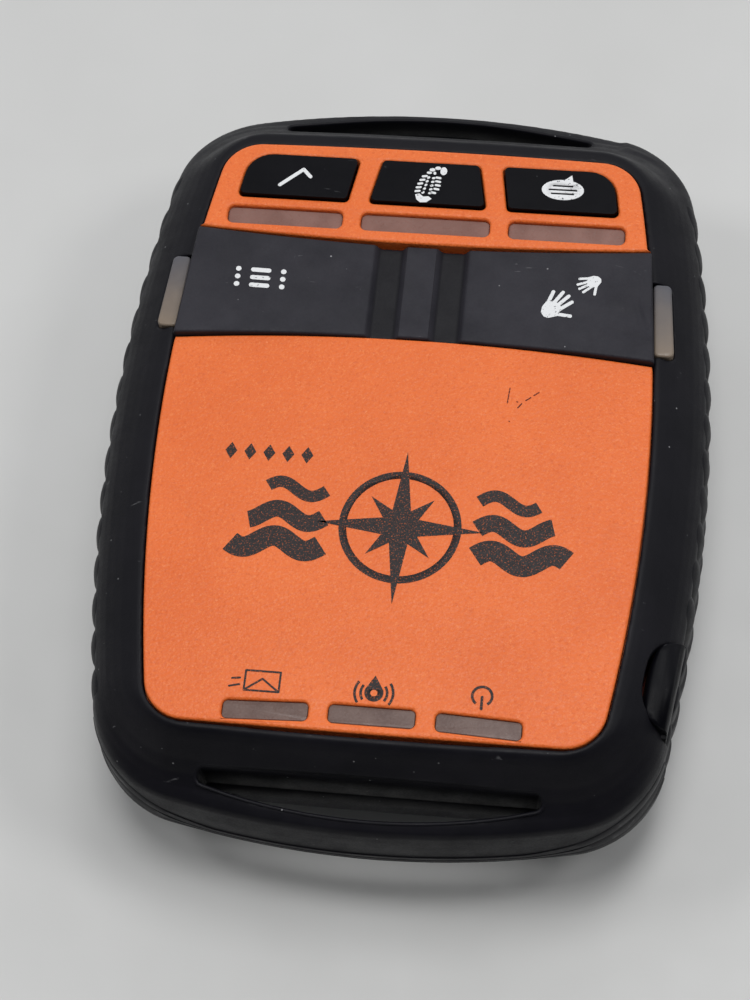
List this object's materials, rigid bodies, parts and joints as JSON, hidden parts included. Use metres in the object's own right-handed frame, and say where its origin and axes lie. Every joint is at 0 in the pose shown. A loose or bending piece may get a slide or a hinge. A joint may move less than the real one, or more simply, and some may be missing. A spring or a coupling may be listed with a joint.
{
  "type": "emergency position beacon",
  "caption": "Handheld satellite distress beacon: orange face in a ribbed rubber bumper with lanyard slots, covered emergency keys, light windows and a screwed battery door.",
  "frame": {"origin": "under the middle of the beacon, on the surface it lies on", "axes": "+Z out of the face, +Y towards the end with the three status lights, +X to the right of someone reading the face"},
  "size_m": [0.065, 0.0872, 0.0254],
  "materials": {
    "orange_plastic": "fine leathery grain",
    "black_rubber": "satin",
    "strap_rubber": "matte",
    "key_rubber": "satin",
    "smoked_window": "frosted translucent",
    "milky_window": "frosted translucent",
    "black_plastic": "fine spark texture",
    "seal_silicone": "matte",
    "board_green": "solder mask",
    "chip_black": "moulded",
    "ceramic": "fired ceramic",
    "shield_metal": "tinned",
    "steel": "satin",
    "brass": "turned",
    "led_white": "moulded",
    "cell_label": "printed sleeve"
  },
  "bodies": {
    "root": {"battery_cell_1": "cell_label", "battery_cell_2": "cell_label", "battery_cell_3": "cell_label", "battery_cell_4": "cell_label", "bumper": "black_rubber", "check_in_switch": "shield_metal", "check_in_window": "smoked_window", "circuit_board": "board_green", "contact_plate_left": "shield_metal", "contact_plate_right": "shield_metal", "contact_spring_1": "steel", "contact_spring_2": "steel", "contact_spring_3": "steel", "contact_spring_4": "steel", "front_housing": "orange_plastic", "help_light": "led_white", "help_switch": "shield_metal", "help_window": "milky_window", "housing_gasket": "seal_silicone", "housing_screw_left_lower": "steel", "housing_screw_left_upper": "steel", "housing_screw_right_lower": "steel", "housing_screw_right_upper": "steel", "key_lights": "led_white", "message_switch": "shield_metal", "message_window": "smoked_window", "position_antenna": "ceramic", "position_window": "smoked_window", "power_switch": "chip_black", "power_window": "smoked_window", "radio_shield": "shield_metal", "rear_housing": "black_plastic", "screw_insert_lower": "brass", "screw_insert_upper": "brass", "sent_window": "smoked_window", "sos_light": "led_white", "sos_switch": "shield_metal", "sos_window": "milky_window", "status_lights": "led_white", "strap_centre": "strap_rubber", "tracking_switch": "shield_metal", "tracking_window": "smoked_window", "uplink_antenna": "ceramic"},
    "sos_flap": {"sos_flap": "strap_rubber"},
    "help_flap": {"help_flap": "strap_rubber"},
    "check_in_key": {"check_in_key": "key_rubber"},
    "tracking_key": {"tracking_key": "key_rubber"},
    "message_key": {"message_key": "key_rubber"},
    "sos_key": {"sos_key": "orange_plastic"},
    "help_key": {"help_key": "orange_plastic"},
    "power_button": {"power_button": "key_rubber"},
    "battery_door": {"battery_door": "black_plastic", "door_gasket": "seal_silicone"},
    "door_screw_upper": {"door_screw_upper": "steel"},
    "door_screw_lower": {"door_screw_lower": "steel"},
    "door_bail_upper": {"door_bail_upper": "steel"},
    "door_bail_lower": {"door_bail_lower": "steel"}
  },
  "joints": [
    {"name": "sos_flap_lift", "type": "hinge", "parent": "root", "child": "sos_flap", "pos_m": [0.0034, -0.0154, 0.02375], "axis": [0, -1, 0], "range_deg": [0, 90]},
    {"name": "help_flap_lift", "type": "hinge", "parent": "root", "child": "help_flap", "pos_m": [-0.0034, -0.0154, 0.02375], "axis": [0, 1, 0], "range_deg": [0, 90]},
    {"name": "check_in_key_press", "type": "slide", "parent": "root", "child": "check_in_key", "axis": [0, 0, -1], "range_m": [0, 0.0005], "stiffness_N_per_m": 400},
    {"name": "tracking_key_press", "type": "slide", "parent": "root", "child": "tracking_key", "axis": [0, 0, -1], "range_m": [0, 0.0005], "stiffness_N_per_m": 400},
    {"name": "message_key_press", "type": "slide", "parent": "root", "child": "message_key", "axis": [0, 0, -1], "range_m": [0, 0.0005], "stiffness_N_per_m": 400},
    {"name": "sos_key_press", "type": "slide", "parent": "root", "child": "sos_key", "axis": [0, 0, -1], "range_m": [0, 0.0005], "stiffness_N_per_m": 400},
    {"name": "help_key_press", "type": "slide", "parent": "root", "child": "help_key", "axis": [0, 0, -1], "range_m": [0, 0.0005], "stiffness_N_per_m": 400},
    {"name": "power_button_press", "type": "slide", "parent": "root", "child": "power_button", "axis": [0.989, -0.1478, 0], "range_m": [0, 0.0003], "stiffness_N_per_m": 400},
    {"name": "battery_door_removal", "type": "slide", "parent": "root", "child": "battery_door", "axis": [0, 0, -1], "range_m": [0, 0.02]},
    {"name": "door_screw_upper_turn", "type": "hinge", "parent": "battery_door", "child": "door_screw_upper", "pos_m": [0, 0.0269, 0.001], "axis": [0, 0, -1], "range_deg": [0, 90]},
    {"name": "door_screw_lower_turn", "type": "hinge", "parent": "battery_door", "child": "door_screw_lower", "pos_m": [0, -0.0269, 0.001], "axis": [0, 0, -1], "range_deg": [0, 90]},
    {"name": "door_bail_upper_fold", "type": "hinge", "parent": "door_screw_upper", "child": "door_bail_upper", "pos_m": [0, 0.0269, 0.001], "axis": [1, 0, 0], "range_deg": [0, 90]},
    {"name": "door_bail_lower_fold", "type": "hinge", "parent": "door_screw_lower", "child": "door_bail_lower", "pos_m": [0, -0.0269, 0.001], "axis": [-1, 0, 0], "range_deg": [0, 90]}
  ]
}
